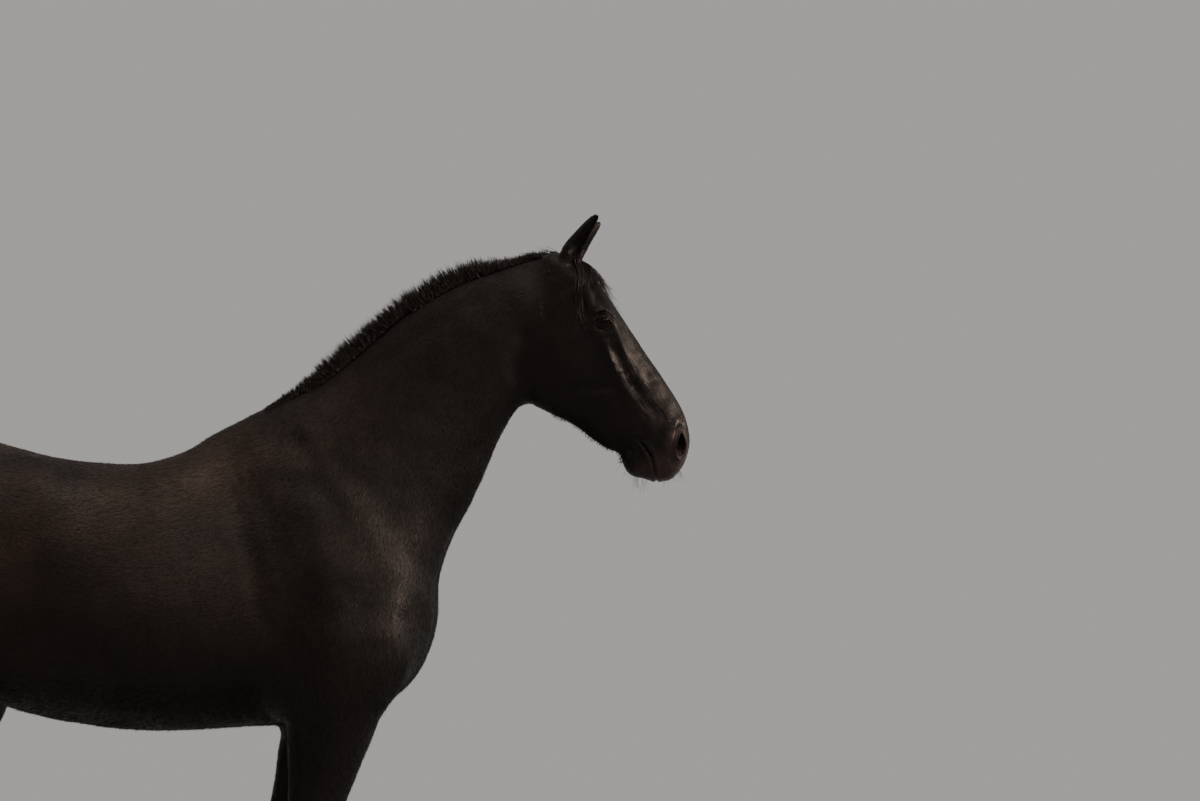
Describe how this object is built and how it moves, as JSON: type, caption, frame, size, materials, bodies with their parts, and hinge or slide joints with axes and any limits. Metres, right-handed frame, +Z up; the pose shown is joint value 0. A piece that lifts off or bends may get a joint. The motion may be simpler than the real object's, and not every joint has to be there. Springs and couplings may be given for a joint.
{
  "type": "life-size horse model",
  "caption": "Life-size standing horse with its head raised: hogged mane, short forelock, pricked ears, closed mouth and a full hanging tail.",
  "frame": {"origin": "on the ground under the middle of the animal's length and width, at the level of the hoof soles", "axes": "+X towards the nose, +Y to the horse's left, +Z up"},
  "size_m": [2.336, 0.605, 2.1372],
  "materials": {
    "coat": "short glossy black coat over skin",
    "hair": "coarse black mane and tail hair",
    "horn": "dark satin hoof horn",
    "eye": "wet glossy dark brown eye"
  },
  "bodies": {
    "root": {"torso": "coat", "neck": "coat", "head": "coat", "ear_left": "coat", "ear_right": "coat", "eye_left": "eye", "eye_right": "eye", "foreleg_left": "coat", "foreleg_right": "coat", "fore_cannon_left": "coat", "fore_cannon_right": "coat", "fore_hoof_left": "horn", "fore_hoof_right": "horn", "hindleg_left": "coat", "hindleg_right": "coat", "hind_cannon_left": "coat", "hind_cannon_right": "coat", "hind_hoof_left": "horn", "hind_hoof_right": "horn", "tail": "hair"}
  },
  "joints": []
}
